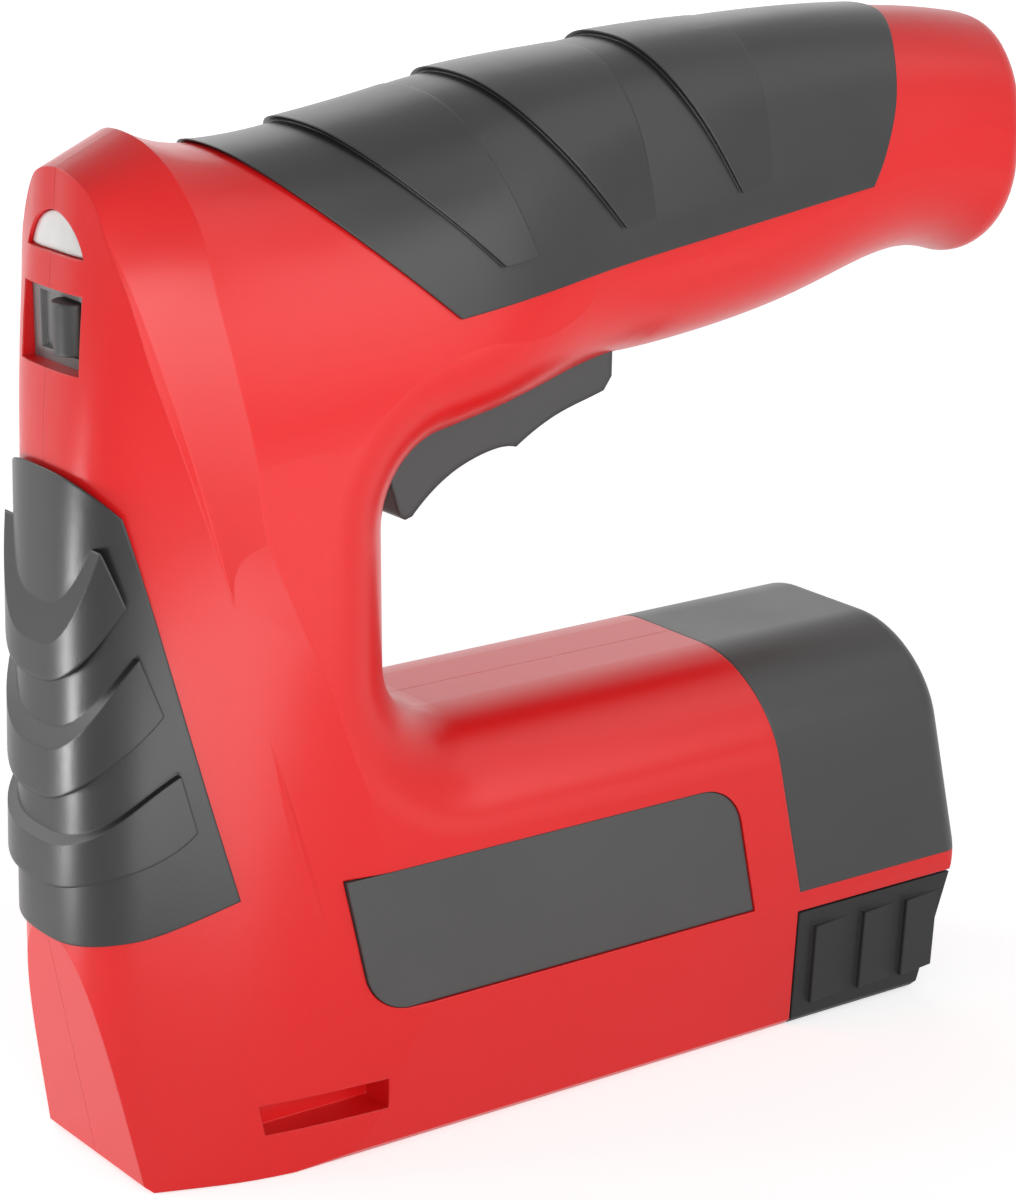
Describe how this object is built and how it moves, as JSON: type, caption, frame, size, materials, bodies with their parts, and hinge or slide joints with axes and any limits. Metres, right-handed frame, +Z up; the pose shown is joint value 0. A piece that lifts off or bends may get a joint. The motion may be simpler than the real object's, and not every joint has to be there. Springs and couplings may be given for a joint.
{
  "type": "cordless stapler",
  "caption": "Cordless stapler: arched handle over a finger gap, trigger, lit nose, and a base arm with a slide-out staple magazine, geared motor and sprung hammer.",
  "frame": {"origin": "on the base plane, at the middle of the staple exit under the driver blade", "axes": "+X from the nose to the rear, +Y to the tool's right, +Z up from the base"},
  "size_m": [0.1536, 0.0428, 0.1413],
  "materials": {
    "red_shell": "fine satin moulded",
    "black_rubber": "soft matte moulded",
    "black_plastic": "fine texture",
    "grey_panel": "satin",
    "clear_lens": "clear",
    "steel": "bright",
    "spring_steel": "drawn wire",
    "brass": "bright",
    "nylon": "natural",
    "board": "lacquered laminate",
    "cell_wrap": "shrink sleeve"
  },
  "bodies": {
    "frame": {"left_housing": "red_shell", "right_housing": "red_shell", "handle_grip": "black_rubber", "nose_pad": "black_rubber", "rear_cap": "black_plastic", "left_label_panel": "grey_panel", "right_label_panel": "grey_panel", "light_lens": "clear_lens", "light_board": "board", "switch_plate": "black_plastic", "housing_screws": "steel", "trigger_pin": "steel", "trigger_switch": "black_plastic", "trigger_spring": "spring_steel", "battery_cell": "cell_wrap", "battery_contacts": "brass", "control_board": "board", "charge_socket": "black_plastic", "motor_case": "steel", "gearbox_case": "nylon", "shaft_bearings": "brass", "spring_rod": "steel", "drive_spring": "spring_steel", "bumper": "black_rubber", "magazine_channel": "steel", "nose_plate": "steel"},
    "trigger": {"trigger": "black_plastic"},
    "switch_button": {"switch_button": "red_shell"},
    "switch_knob": {"switch_knob": "black_plastic"},
    "magazine": {"magazine_rail": "steel", "magazine_grip": "black_plastic", "staples": "steel", "pusher_spring": "spring_steel"},
    "pusher": {"pusher": "steel"},
    "hammer": {"hammer": "steel", "driver_blade": "steel"},
    "lift_shaft": {"planet_carrier": "steel", "lift_pinion": "steel"},
    "rotor": {"motor_rotor": "steel"},
    "planet_a": {"planet_gear_a": "nylon"},
    "planet_b": {"planet_gear_b": "nylon"},
    "planet_c": {"planet_gear_c": "nylon"}
  },
  "joints": [
    {"name": "trigger_pull", "type": "hinge", "parent": "frame", "child": "trigger", "pos_m": [0.069, 0, 0.104], "axis": [0, 1, 0], "range_deg": [0, 8], "stiffness_Nm_per_rad": 0.4, "springref_deg": -8.59, "deforming": ["trigger_spring"]},
    {"name": "switch_button_press", "type": "slide", "parent": "frame", "child": "switch_button", "axis": [0, 0, 1], "range_m": [0, 0.0028]},
    {"name": "power_switch", "type": "slide", "parent": "frame", "child": "switch_knob", "axis": [0, 1, 0], "range_m": [0, 0.0042]},
    {"name": "magazine_slide", "type": "slide", "parent": "frame", "child": "magazine", "axis": [1, 0, 0], "range_m": [0, 0.085]},
    {"name": "pusher_slide", "type": "slide", "parent": "magazine", "child": "pusher", "axis": [1, 0, 0], "range_m": [0, 0.028], "stiffness_N_per_m": 50, "springref_m": -0.04, "deforming": ["pusher_spring"]},
    {"name": "lift_turn", "type": "hinge", "parent": "frame", "child": "lift_shaft", "pos_m": [0.02, 0, 0.0368], "axis": [1, 0, 0], "range_deg": [0, 184]},
    {"name": "hammer_lift", "type": "slide", "parent": "frame", "child": "hammer", "axis": [0, 0, 1], "range_m": [0, 0.016], "stiffness_N_per_m": 200, "springref_m": -0.01, "deforming": ["drive_spring"]},
    {"name": "rotor_turn", "type": "hinge", "parent": "frame", "child": "rotor", "pos_m": [0.08, 0, 0.0368], "axis": [1, 0, 0], "range_deg": [0, 737]},
    {"name": "planet_a_turn", "type": "hinge", "parent": "lift_shaft", "child": "planet_a", "pos_m": [0.05, 0.0072, 0.0368], "axis": [1, 0, 0], "range_deg": [-553, 0]},
    {"name": "planet_b_turn", "type": "hinge", "parent": "lift_shaft", "child": "planet_b", "pos_m": [0.05, -0.0036, 0.04303], "axis": [1, 0, 0], "range_deg": [-553, 0]},
    {"name": "planet_c_turn", "type": "hinge", "parent": "lift_shaft", "child": "planet_c", "pos_m": [0.05, -0.0036, 0.03056], "axis": [1, 0, 0], "range_deg": [-553, 0]}
  ],
  "couplings": [
    {"joint": "switch_button_press", "follows": "trigger_pull", "m_per_rad": 0.0195},
    {"joint": "lift_turn", "follows": "hammer_lift", "rad_per_m": 200},
    {"joint": "rotor_turn", "follows": "hammer_lift", "rad_per_m": 800},
    {"joint": "planet_a_turn", "follows": "hammer_lift", "rad_per_m": -600},
    {"joint": "planet_b_turn", "follows": "hammer_lift", "rad_per_m": -600},
    {"joint": "planet_c_turn", "follows": "hammer_lift", "rad_per_m": -600}
  ]
}
